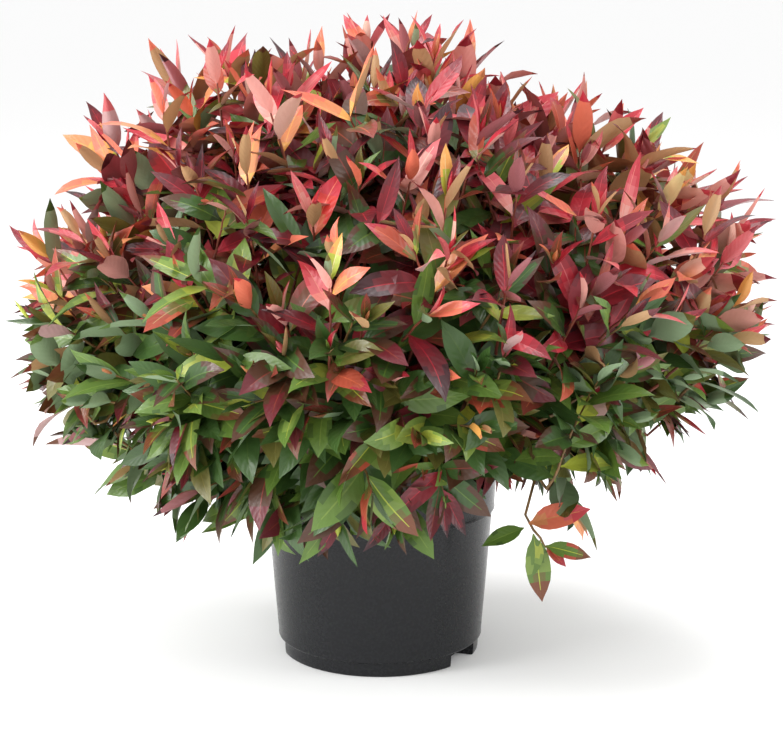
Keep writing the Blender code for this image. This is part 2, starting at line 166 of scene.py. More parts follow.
def leaf_material(name, rgb, rough):
    """One plain leaf colour; its veins and its uneven gloss come from the leaf's own map."""
    mat = bpy.data.materials.new("leaf_" + name)
    mat.use_nodes = True
    t = mat.node_tree
    bsdf = t.nodes["Principled BSDF"]
    bsdf.inputs["Base Color"].default_value = lin(rgb)
    uv = node(t, "ShaderNodeUVMap", uv_map="leaf")
    place = node(t, "ShaderNodeMapping")
    place.inputs["Scale"].default_value = (1.0, 2.6, 1.0)
    noise = node(t, "ShaderNodeTexNoise")
    noise.inputs["Scale"].default_value = 6.0
    noise.inputs["Detail"].default_value = 3.0
    span = node(t, "ShaderNodeMapRange")
    span.inputs["From Min"].default_value = 0.3
    span.inputs["From Max"].default_value = 0.7
    span.inputs["To Min"].default_value = rough - 0.07
    span.inputs["To Max"].default_value = rough + 0.09
    # side veins run forwards from the midrib to the margin
    parts = node(t, "ShaderNodeSeparateXYZ")
    off = node(t, "ShaderNodeMath", operation="SUBTRACT")
    off.inputs[1].default_value = 0.5
    away = node(t, "ShaderNodeMath", operation="ABSOLUTE")
    slant = node(t, "ShaderNodeMath", operation="MULTIPLY")
    slant.inputs[1].default_value = -0.42
    run = node(t, "ShaderNodeMath", operation="ADD")
    beat = node(t, "ShaderNodeMath", operation="MULTIPLY")
    beat.inputs[1].default_value = 2.0 * math.pi * 10.0
    wave = node(t, "ShaderNodeMath", operation="SINE")
    ridge = node(t, "ShaderNodeMath", operation="MULTIPLY")
    ridge.inputs[1].default_value = 0.25
    height = node(t, "ShaderNodeMath", operation="ADD")
    bump = node(t, "ShaderNodeBump")
    bump.inputs["Strength"].default_value = 0.35
    bump.inputs["Distance"].default_value = 0.0006
    link = t.links.new
    link(uv.outputs[0], place.inputs[0])
    link(place.outputs[0], noise.inputs["Vector"])
    link(noise.outputs[0], span.inputs[0])
    link(span.outputs[0], bsdf.inputs["Roughness"])
    link(uv.outputs[0], parts.inputs[0])
    link(parts.outputs[0], off.inputs[0])
    link(off.outputs[0], away.inputs[0])
    link(away.outputs[0], slant.inputs[0])
    link(slant.outputs[0], run.inputs[0])
    link(parts.outputs[1], run.inputs[1])
    link(run.outputs[0], beat.inputs[0])
    link(beat.outputs[0], wave.inputs[0])
    link(wave.outputs[0], ridge.inputs[0])
    link(ridge.outputs[0], height.inputs[0])
    link(noise.outputs[0], height.inputs[1])
    link(height.outputs[0], bump.inputs["Height"])
    link(bump.outputs[0], bsdf.inputs["Normal"])
    return mat


def patchy_material(name, dark, light, scale, rough, bump_height, stretch=(1.0, 1.0, 1.0), spread=0.08):
    """Two colours in a fine noise, with an uneven gloss and a relief of the same grain."""
    mat = bpy.data.materials.new(name)
    mat.use_nodes = True
    t = mat.node_tree
    bsdf = t.nodes["Principled BSDF"]
    co = node(t, "ShaderNodeTexCoord")
    place = node(t, "ShaderNodeMapping")
    place.inputs["Scale"].default_value = stretch
    noise = node(t, "ShaderNodeTexNoise")
    noise.inputs["Scale"].default_value = scale
    noise.inputs["Detail"].default_value = 6.0
    ramp = node(t, "ShaderNodeValToRGB")
    ramp.color_ramp.elements[0].position = 0.35
    ramp.color_ramp.elements[0].color = lin(dark)
    ramp.color_ramp.elements[1].position = 0.68
    ramp.color_ramp.elements[1].color = lin(light)
    span = node(t, "ShaderNodeMapRange")
    span.inputs["From Min"].default_value = 0.3
    span.inputs["From Max"].default_value = 0.7
    span.inputs["To Min"].default_value = rough - spread
    span.inputs["To Max"].default_value = rough + spread
    bump = node(t, "ShaderNodeBump")
    bump.inputs["Strength"].default_value = 0.5
    bump.inputs["Distance"].default_value = bump_height
    link = t.links.new
    link(co.outputs["Object"], place.inputs[0])
    link(place.outputs[0], noise.inputs["Vector"])
    link(noise.outputs[0], ramp.inputs[0])
    link(ramp.outputs[0], bsdf.inputs["Base Color"])
    link(noise.outputs[0], span.inputs[0])
    link(span.outputs[0], bsdf.inputs["Roughness"])
    link(noise.outputs[0], bump.inputs["Height"])
    link(bump.outputs[0], bsdf.inputs["Normal"])
    return mat


PALETTE = {
    "crimson": (186, 44, 58), "wine": (134, 32, 44), "maroon": (98, 30, 38), "night": (60, 24, 30),
    "rose": (208, 100, 104), "dusty": (218, 152, 142), "lilac": (196, 156, 154), "blush": (232, 184, 166),
    "brick": (164, 72, 52), "coral": (218, 112, 86), "scarlet": (198, 52, 44), "copper": (210, 134, 88),
    "amber": (226, 162, 84), "cream": (224, 206, 146), "tan": (186, 146, 104),
    "lime": (170, 180, 64), "yellowgreen": (154, 164, 66), "leafgreen": (88, 116, 46),
    "darkgreen": (56, 84, 36), "deepgreen": (38, 58, 28), "grassgreen": (114, 138, 60),
    "greygreen": (134, 156, 120), "olive": (100, 96, 44), "bronze": (112, 64, 40), "umber": (78, 48, 32),
    "mauve": (160, 96, 100), "garnet": (160, 38, 51), "raspberry": (197, 72, 81), "plum": (114, 31, 41),
    "salmon": (216, 126, 116), "rust": (190, 92, 62), "moss": (98, 104, 46), "khaki": (122, 112, 58),
    "redbrown": (130, 54, 44), "jade": (66, 92, 38),
}
NAMES = list(PALETTE)
NUMBER = {n: k for k, n in enumerate(NAMES)}

# base, blade, point, margin, midrib, underside
RECIPES = {
    "crimson": ("garnet", "crimson", "wine", "garnet", "raspberry", "dusty"),
    "crimson2": ("rose", "crimson", "wine", "crimson", "rose", "rose"),
    "rose": ("dusty", "rose", "crimson", "raspberry", "salmon", "dusty"),
    "wine": ("garnet", "wine", "maroon", "plum", "crimson", "mauve"),
    "maroon": ("wine", "maroon", "night", "maroon", "garnet", "mauve"),
    "brick": ("khaki", "brick", "garnet", "brick", "rust", "tan"),
    "scarlet": ("rust", "scarlet", "crimson", "crimson", "coral", "coral"),
    "pink": ("blush", "dusty", "rose", "rose", "blush", "lilac"),
    "coral": ("copper", "coral", "raspberry", "coral", "copper", "blush"),
    "copper": ("amber", "copper", "coral", "copper", "amber", "tan"),
    "amber": ("lime", "amber", "copper", "copper", "amber", "amber"),
    "limetip": ("lime", "lime", "amber", "copper", "cream", "cream"),
    "olivered": ("yellowgreen", "khaki", "brick", "rust", "tan", "dusty"),
    "greenred": ("leafgreen", "leafgreen", "bronze", "brick", "lime", "lilac"),
    "bronze": ("olive", "bronze", "redbrown", "redbrown", "rust", "tan"),
    "umber": ("darkgreen", "umber", "maroon", "umber", "redbrown", "tan"),
    "olive": ("leafgreen", "moss", "olive", "olive", "khaki", "greygreen"),
    "green": ("leafgreen", "leafgreen", "leafgreen", "jade", "grassgreen", "greygreen"),
    "grass": ("yellowgreen", "grassgreen", "leafgreen", "leafgreen", "yellowgreen", "greygreen"),
    "dark": ("jade", "darkgreen", "darkgreen", "darkgreen", "jade", "greygreen"),
    "deep": ("deepgreen", "darkgreen", "umber", "umber", "leafgreen", "olive"),
    "yellow": ("lime", "yellowgreen", "grassgreen", "grassgreen", "lime", "greygreen"),
    "greentip": ("leafgreen", "grassgreen", "bronze", "leafgreen", "lime", "greygreen"),
}
RED_BAG = ("crimson",) * 5 + ("crimson2",) * 4 + ("rose",) * 5 + ("wine",) * 5 + ("maroon",) * 3 + (
    "brick",) * 5 + ("scarlet",) * 2 + ("pink",) * 4 + ("coral",) * 3 + ("copper",) * 5 + ("olivered",) * 6 + (
    "amber", "bronze", "yellow", "olive")
YOUNG_BAG = ("coral", "copper", "amber", "pink", "rose", "crimson", "scarlet", "limetip", "copper", "crimson2")
MIX_BAG = ("brick", "bronze", "umber", "olivered", "dark", "olive", "olive", "greenred", "deep",
           "greentip", "green", "yellow", "wine", "maroon", "umber", "bronze", "deep", "dark", "dark", "maroon", "umber", "deep")
GREEN_BAG = ("green",) * 6 + ("grass",) * 4 + ("dark",) * 5 + ("yellow",) * 3 + ("olive",) * 3 + (
    "greentip",) * 3 + ("greenred",) * 2 + ("deep",) * 3 + ("bronze",)


def shades(recipe):
    """A recipe with the two colours that lie between base and blade, and between blade and point."""
    def between(a, b):
        if a == b:
            return a
        mid = [0.5 * (x + y) for x, y in zip(PALETTE[a], PALETTE[b])]
        return min(NAMES, key=lambda n: sum((x - y) ** 2 for x, y in zip(PALETTE[n], mid)))
    return (*recipe, between(recipe[0], recipe[1]), between(recipe[1], recipe[2]))


def pick_recipe(red, age):
    """A leaf's colours from its spray's redness and its age, 0 young to 1 old."""
    x = red - (0.62 - 0.26 * min(1.0, max(0.0, red))) * age + rng.gauss(0.0, 0.15)
    if age < 0.2 and red > 0.3 and rng.random() < 0.4:
        return rng.choice(YOUNG_BAG)
    if x > 0.46:
        return rng.choice(RED_BAG)
    if x > 0.16:
        return rng.choice(MIX_BAG)
    return rng.choice(GREEN_BAG)


# painted shade: in the middle of the shrub's front, leaves take deeper colours that stand in for the shade falling
# there
shade = random.Random(771)
PAINTED_SHADE_RECIPES = {"crimson": "wine", "crimson2": "wine", "rose": "crimson", "pink": "bronze", "coral": "brick",
          "copper": "bronze", "scarlet": "wine", "brick": "umber", "amber": "olive", "limetip": "olive",
          "olivered": "umber", "greenred": "dark", "green": "dark", "grass": "green", "yellow": "green",
          "olive": "deep", "greentip": "dark", "bronze": "umber", "wine": "maroon"}


def paint_front_shade(recipe, at):
    """The recipe, or a deeper one in the middle of the shrub's front as painted shade."""
    share = 0.62 * max(0.0, 1.0 - (at.x / 0.27) ** 4) if at.y < -0.08 and at.z < 0.54 else 0.0
    return PAINTED_SHADE_RECIPES.get(recipe, recipe) if shade.random() < share else recipe


# ---------------------------------------------------------------- leaves
STATIONS = np.array([0.0, 0.08, 0.18, 0.30, 0.43, 0.56, 0.69, 0.82, 0.93, 1.0])
COLUMNS = np.array([-1.0, -0.55, -0.045, 0.045, 0.55, 1.0])
OUT_U = np.array([0.0, 0.06, 0.12, 0.22, 0.34, 0.46, 0.58, 0.70, 0.80, 0.88, 0.94, 1.0])
OUT_W = np.array([0.05, 0.08, 0.38, 0.76, 0.96, 1.0, 0.97, 0.83, 0.61, 0.37, 0.17, 0.012])


class Leaves:
    """The leaves of one piece, gathered and then meshed together."""

    def __init__(self):
        self.rows, self.recipes = [], []

    def add(self, at, ahead, face, length, width, curve, fold, twist, point, wave, recipe):
        self.rows.append((*at, *ahead, *face, length, width, curve, fold, twist, point, wave,
                          rng.uniform(0, 6.28), rng.uniform(-0.07, 0.07), rng.uniform(-0.09, 0.09)))
        self.recipes.append(recipe)

    def sheet(self, data, columns, sink):
        """Points of one side of every leaf: leaves x stations x columns x 3."""
        at, f, n = data[:, 0:3], data[:, 3:6], data[:, 6:9]
        length, width, curve, fold, twist, point, wave, phase = (data[:, k][:, None] for k in range(9, 17))
        f = f / np.linalg.norm(f, axis=1, keepdims=True)
        n = n - f * (f * n).sum(1, keepdims=True)
        n = n / np.linalg.norm(n, axis=1, keepdims=True)
        s = np.cross(n, f)
        u = STATIONS[None, :]
        turn = curve * u ** 1.4
        d = f[:, None] * np.cos(turn)[..., None] - n[:, None] * np.sin(turn)[..., None]
        nn = n[:, None] * np.cos(turn)[..., None] + f[:, None] * np.sin(turn)[..., None]
        # points that trail off sideways
        d = d + s[:, None] * (0.55 * twist * np.clip(u - 0.7, 0, 1) / 0.3)[..., None]
        d = d / np.linalg.norm(d, axis=2, keepdims=True)
        steps = (STATIONS[1:] - STATIONS[:-1])[None, :, None] * length[..., None] * 0.5 * (d[:, 1:] + d[:, :-1])
        axis = at[:, None] + np.concatenate([np.zeros_like(at)[:, None], np.cumsum(steps, 1)], 1)
        roll = twist * u
        ss = s[:, None] * np.cos(roll)[..., None] + nn * np.sin(roll)[..., None]
        nr = nn * np.cos(roll)[..., None] - s[:, None] * np.sin(roll)[..., None]
        half = width * 0.5 * np.interp(u ** point, OUT_U, OUT_W)
        v = columns[None, None, :]
        fo = fold[..., None]
        side = half[..., None] * v * np.cos(fo)
        rise = half[..., None] * np.abs(v) * np.sin(fo) * (1.0 - 0.25 * np.abs(v))
        rise = rise + half[..., None] * wave[..., None] * v * np.sin(9.0 * u + phase)[..., None]
        rise = rise - sink * (1.0 - np.abs(v)) * (half[..., None] / (half[..., None] + 0.001))
        return axis[:, :, None] + ss[:, :, None] * side[..., None] + nr[:, :, None] * rise[..., None]

    def keep(self, data, low, high):
        """Leaves that stay clear of the pot and inside the model's box."""
        p = self.sheet(data, COLUMNS, 0.0).reshape(len(data), -1, 3)
        r = np.hypot(p[..., 0], p[..., 1])
        limit = np.where(p[..., 2] > 0.1825, 0.0, np.where(
            p[..., 2] > BAND_LOW_Z - 0.003, POT_RIM_R + 0.002,
            WALL_LOW_R + 0.003 + (WALL_TOP_R - WALL_LOW_R) * (p[..., 2] - STEP_Z) / (BAND_LOW_Z - STEP_Z)))
        ok = ~(r < limit).any(1)
        ok &= ~((p < low) | (p > high)).any((1, 2))
        ok &= ~((p[..., 2] < 0.120) & (p[..., 0] < 0.10)).any(1)
        # the crown stands whole in the picture
        tilt, near, drop = math.radians(CAM_TILT), p[..., 1] - CAM_AT.y, CAM_AT.z - p[..., 2]
        depth = near * math.cos(tilt) + drop * math.sin(tilt)
        across = 391.5 + (p[..., 0] - 0.0117 * depth / 1.9) * CAM_F / depth
        down = 375.0 + CAM_F * np.tan(np.arctan2(drop, near) - tilt)
        ok &= ~((across < 4.0) | (across > 780.0) | (down < 3.0)).any(1)
        return ok

    def mesh(self, name, mats, low, high):
        data = np.array(self.rows, float)
        ok = self.keep(data, low, high)
        data = data[ok]
        recipes = np.array([[NUMBER[c] for c in shades(RECIPES[r])] for r, k in zip(self.recipes, ok) if k])
        count, ns = len(data), len(STATIONS)
        shift_base, shift_tip = data[:, 17][:, None, None], data[:, 18][:, None, None]
        u_mid = (0.5 * (STATIONS[1:] + STATIONS[:-1]))[None, :, None]
        verts, loops, uvs, mat_index, base = [], [], [], [], 0
        for columns, sink, flip in ((COLUMNS, 0.0, False), (np.array([-1.0, -0.55, 0.0, 0.55, 1.0]), 0.0007, True)):
            nc = len(columns)
            verts.append(self.sheet(data, columns, sink).reshape(-1, 3))
            i, j = np.meshgrid(np.arange(ns - 1), np.arange(nc - 1), indexing="ij")
            a = (i * nc + j).ravel()
            quad = np.stack([a, a + 1, a + nc + 1, a + nc], 1)
            if flip:
                quad = quad[:, [0, 3, 2, 1]]      # turned over, with the same diagonal
            faces = quad[None] + (np.arange(count) * ns * nc)[:, None, None] + base
            loops.append(faces.reshape(-1, 4))
            leaf_uv = np.stack([0.5 + 0.42 * columns[(quad % nc)], 0.06 + 0.88 * STATIONS[quad // nc]], 2)
            uvs.append(np.broadcast_to(leaf_uv, (count, *leaf_uv.shape)).reshape(-1, 2))
            cm = np.abs(0.5 * (columns[1:] + columns[:-1]))[None, None, :]
            if flip:
                m = np.broadcast_to(recipes[:, 5][:, None, None], (count, ns - 1, nc - 1)).copy()
                tipzone = np.broadcast_to(u_mid > 0.80 + shift_tip, m.shape)
                m = np.where(tipzone, np.broadcast_to(recipes[:, 2][:, None, None], m.shape), m)
            else:
                m = np.broadcast_to(recipes[:, 1][:, None, None], (count, ns - 1, nc - 1)).copy()
                zone_c = np.broadcast_to(u_mid < 0.40 + shift_base - 0.14 * cm, m.shape)
                zone_s = np.broadcast_to(u_mid > 0.64 + shift_tip - 0.16 * cm, m.shape)
                zone_b = np.broadcast_to(u_mid < 0.24 + shift_base - 0.10 * cm, m.shape)
                zone_t = np.broadcast_to(u_mid > 0.76 + shift_tip - 0.16 * cm, m.shape)
                zone_m = np.broadcast_to((cm > 0.7) & (u_mid > 0.50 + 2.0 * shift_base), m.shape)
                zone_r = np.broadcast_to((cm < 0.05) & (u_mid < 0.87), m.shape)
                for zone, part in ((zone_c, 6), (zone_s, 7), (zone_m, 3), (zone_b, 0), (zone_t, 2), (zone_r, 4)):
                    m = np.where(zone, np.broadcast_to(recipes[:, part][:, None, None], m.shape), m)
            mat_index.append(m.reshape(-1))
            base += count * ns * nc
        return make_mesh(name, np.concatenate(verts), np.concatenate(loops), np.concatenate(uvs),
                         np.concatenate(mat_index), mats)


def make_mesh(name, verts, quads, uv, mat_index, mats):
    me = bpy.data.meshes.new(name)
    me.vertices.add(len(verts))
    me.vertices.foreach_set("co", verts.astype(np.float32).ravel())
    me.loops.add(quads.size)
    me.loops.foreach_set("vertex_index", quads.astype(np.int32).ravel())
    me.polygons.add(len(quads))
    me.polygons.foreach_set("loop_start", (np.arange(len(quads)) * 4).astype(np.int32))
    me.polygons.foreach_set("loop_total", np.full(len(quads), 4, np.int32))
    me.update(calc_edges=True)
    if uv is not None:
        for layer in ("leaf", "OFBake"):
            me.uv_layers.new(name=layer)
            me.uv_layers[layer].data.foreach_set("uv", uv.astype(np.float32).ravel())
    used = sorted(set(int(m) for m in np.unique(mat_index)))
    lookup = np.zeros(max(used) + 1, np.int32)
    for k, m in enumerate(used):
        me.materials.append(mats[m])
        lookup[m] = k
    me.polygons.foreach_set("material_index", lookup[mat_index].astype(np.int32))
    me.polygons.foreach_set("use_smooth", np.ones(len(quads), bool))
    me.update()
    ob = bpy.data.objects.new(name, me)
    scene.collection.objects.link(ob)
    return ob


# ---------------------------------------------------------------- tubes
class Tubes:
    """Tapering round twigs, limbs and buds, joined into one mesh."""

    def __init__(self, sides):
        self.sides, self.verts, self.quads, self.mats = sides, [], [], []
        self.base = 0

    def add(self, points, radii, mat=0, relief=0.0, phase=0.0):
        side, rings = None, []
        n = self.sides
        for k, (p, r) in enumerate(zip(points, radii)):
            ahead = (points[min(k + 1, len(points) - 1)] - points[max(k - 1, 0)]).normalized()
            if side is None:
                side = ahead.orthogonal().normalized()
            side = (side - ahead * side.dot(ahead)).normalized()
            over = ahead.cross(side)
            for j in range(n):
                a = 2.0 * math.pi * j / n
                rr = r
                if relief:
                    rr *= 1.0 + relief * (0.6 * math.sin(3 * a + k * 0.9 + phase) + 0.4 * math.sin(5 * a - k * 1.7))
                rings.append(p + (side * math.cos(a) + over * math.sin(a)) * rr)
        self.verts += [tuple(v) for v in rings]
        for k in range(len(points) - 1):
            for j in range(n):
                m = (j + 1) % n
                self.quads.append((self.base + k * n + j, self.base + k * n + m,
                                   self.base + (k + 1) * n + m, self.base + (k + 1) * n + j))
                self.mats.append(mat)
        # closed ends: each end ring meets in its own middle line
        for ring, back in ((0, True), (len(points) - 1, False)):
            start = self.base + ring * n
            for j in range(1, n // 2):
                q = (start + j - 1, start + j, start + n - j - 1, start + n - j if j > 1 else start + n - 1)
                q = (start + (j - 1), start + j, start + (n - 1 - j), start + (n - j) % n)
                if len(set(q)) == 4:
                    self.quads.append(q[::-1] if back else q)
                    self.mats.append(mat)
        self.base += len(rings)

    def mesh(self, name, mats):
        return make_mesh(name, np.array(self.verts), np.array(self.quads), None, np.array(self.mats), mats)


def bend(a, b, c, t):
    return a * ((1 - t) ** 2) + b * (2 * t * (1 - t)) + c * (t * t)


def node_tree(name):
    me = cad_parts[name].data
    return BVHTree.FromPolygons([v.co.copy() for v in me.vertices], [tuple(p.vertices) for p in me.polygons])


def entry(a, b, c, tree):
    """Share of the curve's run at which it enters the mass."""
    fine = [bend(a, b, c, k / 120.0) for k in range(121)]
    for k, (p, q) in enumerate(zip(fine, fine[1:])):
        step = q - p
        hit = tree.ray_cast(p, step.normalized(), step.length)
        if hit[0] is not None:
            return (k + (hit[0] - p).length / step.length) / 120.0
    return 1.0


# ---------------------------------------------------------------- pot
def build_pot():
    def inner_r(z):
        if z > BAND_LOW_Z:
            t = (z - BAND_LOW_Z) / (POT_HEIGHT - BAND_LOW_Z)
            low = WALL_TOP_R - POT_WALL
            return low + t * (POT_RIM_R - POT_WALL - low)
        return WALL_LOW_R + (z - STEP_Z) / (BAND_LOW_Z - STEP_Z) * (WALL_TOP_R - WALL_LOW_R) - POT_WALL

    def wall(z):
        return WALL_LOW_R + (z - STEP_Z) / (BAND_LOW_Z - STEP_Z) * (WALL_TOP_R - WALL_LOW_R)

    def profile(open_foot):
        foot_in = CHANNEL_IN_R if open_foot else FOOT_R
        top = CHANNEL_HEIGHT
        pts = [(0.0002, 0.0), (0.05, 0.0), (CHANNEL_IN_R - 0.002, 0.0)]
        if open_foot:
            pts += [(foot_in, 0.0), (foot_in, 0.006), (foot_in, top - 0.001), (foot_in + 0.001, top),
                    (FOOT_R - 0.001, top), (FOOT_R + 0.0005, top)]
        else:
            pts += [(FOOT_R - 0.0030, 0.0), (FOOT_R - 0.0012, 0.0003), (FOOT_R - 0.0003, 0.0010),
                    (FOOT_R, 0.0022), (FOOT_R + 0.0003, 0.007), (FOOT_R + 0.0005, top)]
        pts += [(FOOT_R + 0.0006, 0.0139), (FOOT_R + 0.0012, 0.0147), (FOOT_R + 0.0026, 0.0152),
                (WALL_LOW_R + 0.0001, 0.0158), (WALL_LOW_R + 0.0004, 0.0165), (wall(0.0180) + 0.0002, 0.0180),
                (wall(0.022), 0.022)]
        pts += [(wall(z), z) for z in (0.04, 0.065, 0.09, 0.115, 0.135, 0.1440, 0.1466)]
        pts += [(WALL_TOP_R - 0.0001, 0.1476), (WALL_TOP_R + 0.0004, 0.1482), (BAND_LOW_R - 0.0004, 0.1484),
                (BAND_LOW_R + 0.0003, 0.1488), (BAND_LOW_R + 0.0003, 0.1500), (BAND_LOW_R, 0.1508),
                (0.1161, 0.158), (0.1166, 0.168), (POT_RIM_R - 0.0002, 0.1765), (POT_RIM_R, 0.1783),
                (POT_RIM_R - 0.0003, 0.1794), (POT_RIM_R - 0.0010, POT_HEIGHT),
                (inner_r(POT_HEIGHT) + 0.0003, 0.1797), (inner_r(0.179), 0.179)]
        pts += [(inner_r(z), z) for z in (0.17, 0.16, 0.149, 0.10, 0.05, LEDGE_Z + 0.004)]
        pts += [(inner_r(LEDGE_Z) - 0.004, LEDGE_Z), (WELL_R, LEDGE_Z), (WELL_R, POT_FLOOR), (0.0002, POT_FLOOR)]
        return pts

    edges = []
    for a in CHANNELS:
        edges += [(a - CHANNEL_SPAN / 2, 1), (a + CHANNEL_SPAN / 2, -1)]
    turns = [(360.0 * k / 160, 0) for k in range(160)]
    marks = sorted([(a % 360.0, kind) for a, kind in turns + edges])
    inside = any((0.0 - (a - CHANNEL_SPAN / 2)) % 360.0 < CHANNEL_SPAN for a in CHANNELS)
    columns = []
    for a, kind in marks:
        if kind == 0:
            columns.append((a, inside))
        else:
            columns.append((a, kind == -1))
            inside = kind == 1
            columns.append((a, inside))
    verts, quads = [], []
    n = len(profile(False))
    for a, open_foot in columns:
        s, c = math.sin(math.radians(a)), -math.cos(math.radians(a))
        verts += [(r * s, r * c, z) for r, z in profile(open_foot)]
    for k in range(len(columns)):
        m = (k + 1) % len(columns)
        for j in range(n - 1):
            ids = (k * n + j, m * n + j, m * n + j + 1, k * n + j + 1)
            co = [Vector(verts[i]) for i in ids]
            if (co[0] - co[1]).length < 1e-7 and (co[2] - co[3]).length < 1e-7:
                continue
            quads.append(ids)
    mat = patchy_material("pot_plastic", (22, 23, 25), (27, 28, 31), 320.0, 0.27, 0.00004, spread=0.05)
    shader = mat.node_tree.nodes["Principled BSDF"]
    shader.inputs["Specular IOR Level"].default_value = 0.27
    pot = make_mesh("pot_shell", np.array(verts), np.array(quads), None, np.zeros(len(quads), int), [mat])
    import bmesh
    bm = bmesh.new()
    bm.from_mesh(pot.data)
    bmesh.ops.remove_doubles(bm, verts=bm.verts, dist=1e-6)
    bmesh.ops.dissolve_degenerate(bm, dist=1e-7, edges=bm.edges)
    bmesh.ops.recalc_face_normals(bm, faces=bm.faces)
    bm.to_mesh(pot.data)
    bm.free()
    pot.data.set_sharp_from_angle(angle=math.radians(38.0))
    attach(pot, "root")
    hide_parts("pot")


# ---------------------------------------------------------------- growth
LOW = np.array(bounds0[0]) - 0.010
HIGH = np.array(bounds0[1]) + 0.010
LOW[2] = 0.074


def redness(p):
    """How red the sprays are at a place of the crown: red above and outside, green below."""
    wave = math.sin(11.0 * p.x + 2.0) * math.cos(13.0 * p.y + 1.0)
    level = 0.458 - (0.09 if p.x < 0.0 else 0.05) * p.x - 0.18 * min(0.3, max(0.0, p.y + 0.3)) + 0.020 * wave
    step = max(0.0, min(1.0, (p.z - level + 0.100) / 0.200))
    step = step * step * (3.0 - 2.0 * step)
    return 0.20 + 0.98 * step + rng.gauss(0.0, 0.10)


def grow_shoot(leaves, twigs, buds, apex, ahead, red, size, old=False, count=None, root=None):
    """One leafy shoot that ends at the apex: leaves by turns, and a cluster of young ones."""
    ahead = ahead.normalized()
    upright = max(0.0, min(1.0, (ahead.z - 0.35) / 0.4))
    count = count or rng.randint(9, 12)
    outward = (apex - CROWN_MID).normalized()
    run = 0.0
    side0 = ahead.cross(UP)
    if side0.length < 0.25 or upright > 0.6:
        side0 = ahead.orthogonal()
    side0 = side0.normalized()
    over0 = ahead.cross(side0).normalized()
    if over0.z < 0:
        over0 = -over0
    spin = rng.uniform(0, 2 * math.pi) if upright > 0.4 else rng.uniform(-0.3, 0.3)
    bow = (side0 * rng.uniform(-0.14, 0.14) - UP * rng.uniform(0.05, 0.28) * (1.0 - 0.4 * upright))
    line = []

    def place(s):
        return apex - ahead * s + bow * (s * s / 0.10)

    for k in range(count):
        age = k / (count - 1.0)
        run += 0.0022 + 0.0095 * min(1.0, k / 4.0) * rng.uniform(0.8, 1.2) if k else 0.0
        at = place(run)
        if upright > 0.4:
            az = spin + k * math.radians(137.5 if k < 5 else 165.0) + rng.uniform(-0.3, 0.3)
        else:
            az = spin + (k % 2) * math.pi + rng.uniform(-0.38, 0.38)
        out = side0 * math.cos(az) + over0 * math.sin(az)
        if old:
            spread = math.radians(rng.uniform(42, 72))
            length = size * rng.uniform(0.85, 1.05)
        else:
            spread = math.radians(14.0 + 44.0 * min(1.0, age * 1.5) + rng.uniform(-8, 9))
            length = size * (0.50, 0.66, 0.80, 0.92)[k] * rng.uniform(0.9, 1.1) if k < 4 else \
                size * rng.uniform(0.88, 1.08)
        f = ahead * math.cos(spread) + out * math.sin(spread)
        inward = ahead * math.sin(spread) - out * math.cos(spread)
        light = UP * 0.55 + outward * 0.65
        w = (0.85 if upright > 0.4 else 0.25) * (1.0 - 0.55 * age)
        face = inward * w + light * (1.0 - w)
        face += Vector((rng.gauss(0, 0.22), rng.gauss(0, 0.22), rng.gauss(0, 0.14)))
        if not old and age > 0.45:
            f = (f - UP * rng.uniform(0.0, 0.35)).normalized()
        young = 1.0 - min(1.0, age * 2.2)
        curve = rng.uniform(-0.30, 0.35) if young > 0.5 else rng.uniform(0.10, 0.95)
        fold = rng.uniform(0.30, 0.70) if young > 0.4 else rng.uniform(0.08, 0.38)
        width = length * (rng.uniform(0.26, 0.35) if young > 0.4 else rng.uniform(0.33, 0.42)) * (1.06 - 0.10 * min(1.0, red))
        # the leaf's colours, swapped for deeper ones in the front middle as painted shade
        leaves.add(at, f, face, length, width, curve, fold, rng.gauss(0, 0.35), (rng.uniform(0.72, 1.0) if young > 0.3 else rng.uniform(0.84, 1.08)),
                   rng.uniform(0.02, 0.13), paint_front_shade(pick_recipe(
                       red if not old else red * (0.3 if red < 0.6 else 0.72), 0.0 if k < 2 else age), at))
        line.append(at + out * 0.0005)
    line = line[::-1]
    start = root if root is not None else place(run + 0.03)
    knee = line[0] - (line[1] - line[0]).normalized() * 0.5 * (start - line[0]).length
    way = [bend(start, knee, line[0], t / 5.0) for t in range(5)] + line
    thick = 0.0013
    twigs.add(way, [thick + 0.0009 * (1 - k / len(way)) - 0.0006 * k / len(way) for k in range(len(way))],
              0 if red < 0.5 else 1)
    if not old and rng.random() < 0.55:
        long, fat = rng.uniform(0.014, 0.024), rng.uniform(0.0016, 0.0036)
        tilt = (ahead + side0 * rng.uniform(-0.15, 0.15)).normalized()
        kinds = ("lime", "copper", "rose", "amber", "crimson") if red > 0.35 else ("lime", "grassgreen", "copper")
        kind = NUMBER[rng.choice(kinds)]
        shape = ((0.0, 0.35), (0.2, 0.85), (0.42, 1.0), (0.66, 0.72), (0.86, 0.30), (1.0, 0.04))
        buds.add([apex + tilt * (long * t) for t, _ in shape], [fat * r for _, r in shape], kind)


def shoot_heading(p):
    out = (p - CROWN_MID).normalized()
    lift = 1.45 if out.z > 0.62 else 1.15 if out.z > 0.30 else 0.80 if out.z > 0.0 else 0.32 if out.z > -0.3 else -0.12
    wobble = Vector((rng.gauss(0, 0.24), rng.gauss(0, 0.24), rng.gauss(0, 0.15)))
    return (out + UP * lift + wobble).normalized()


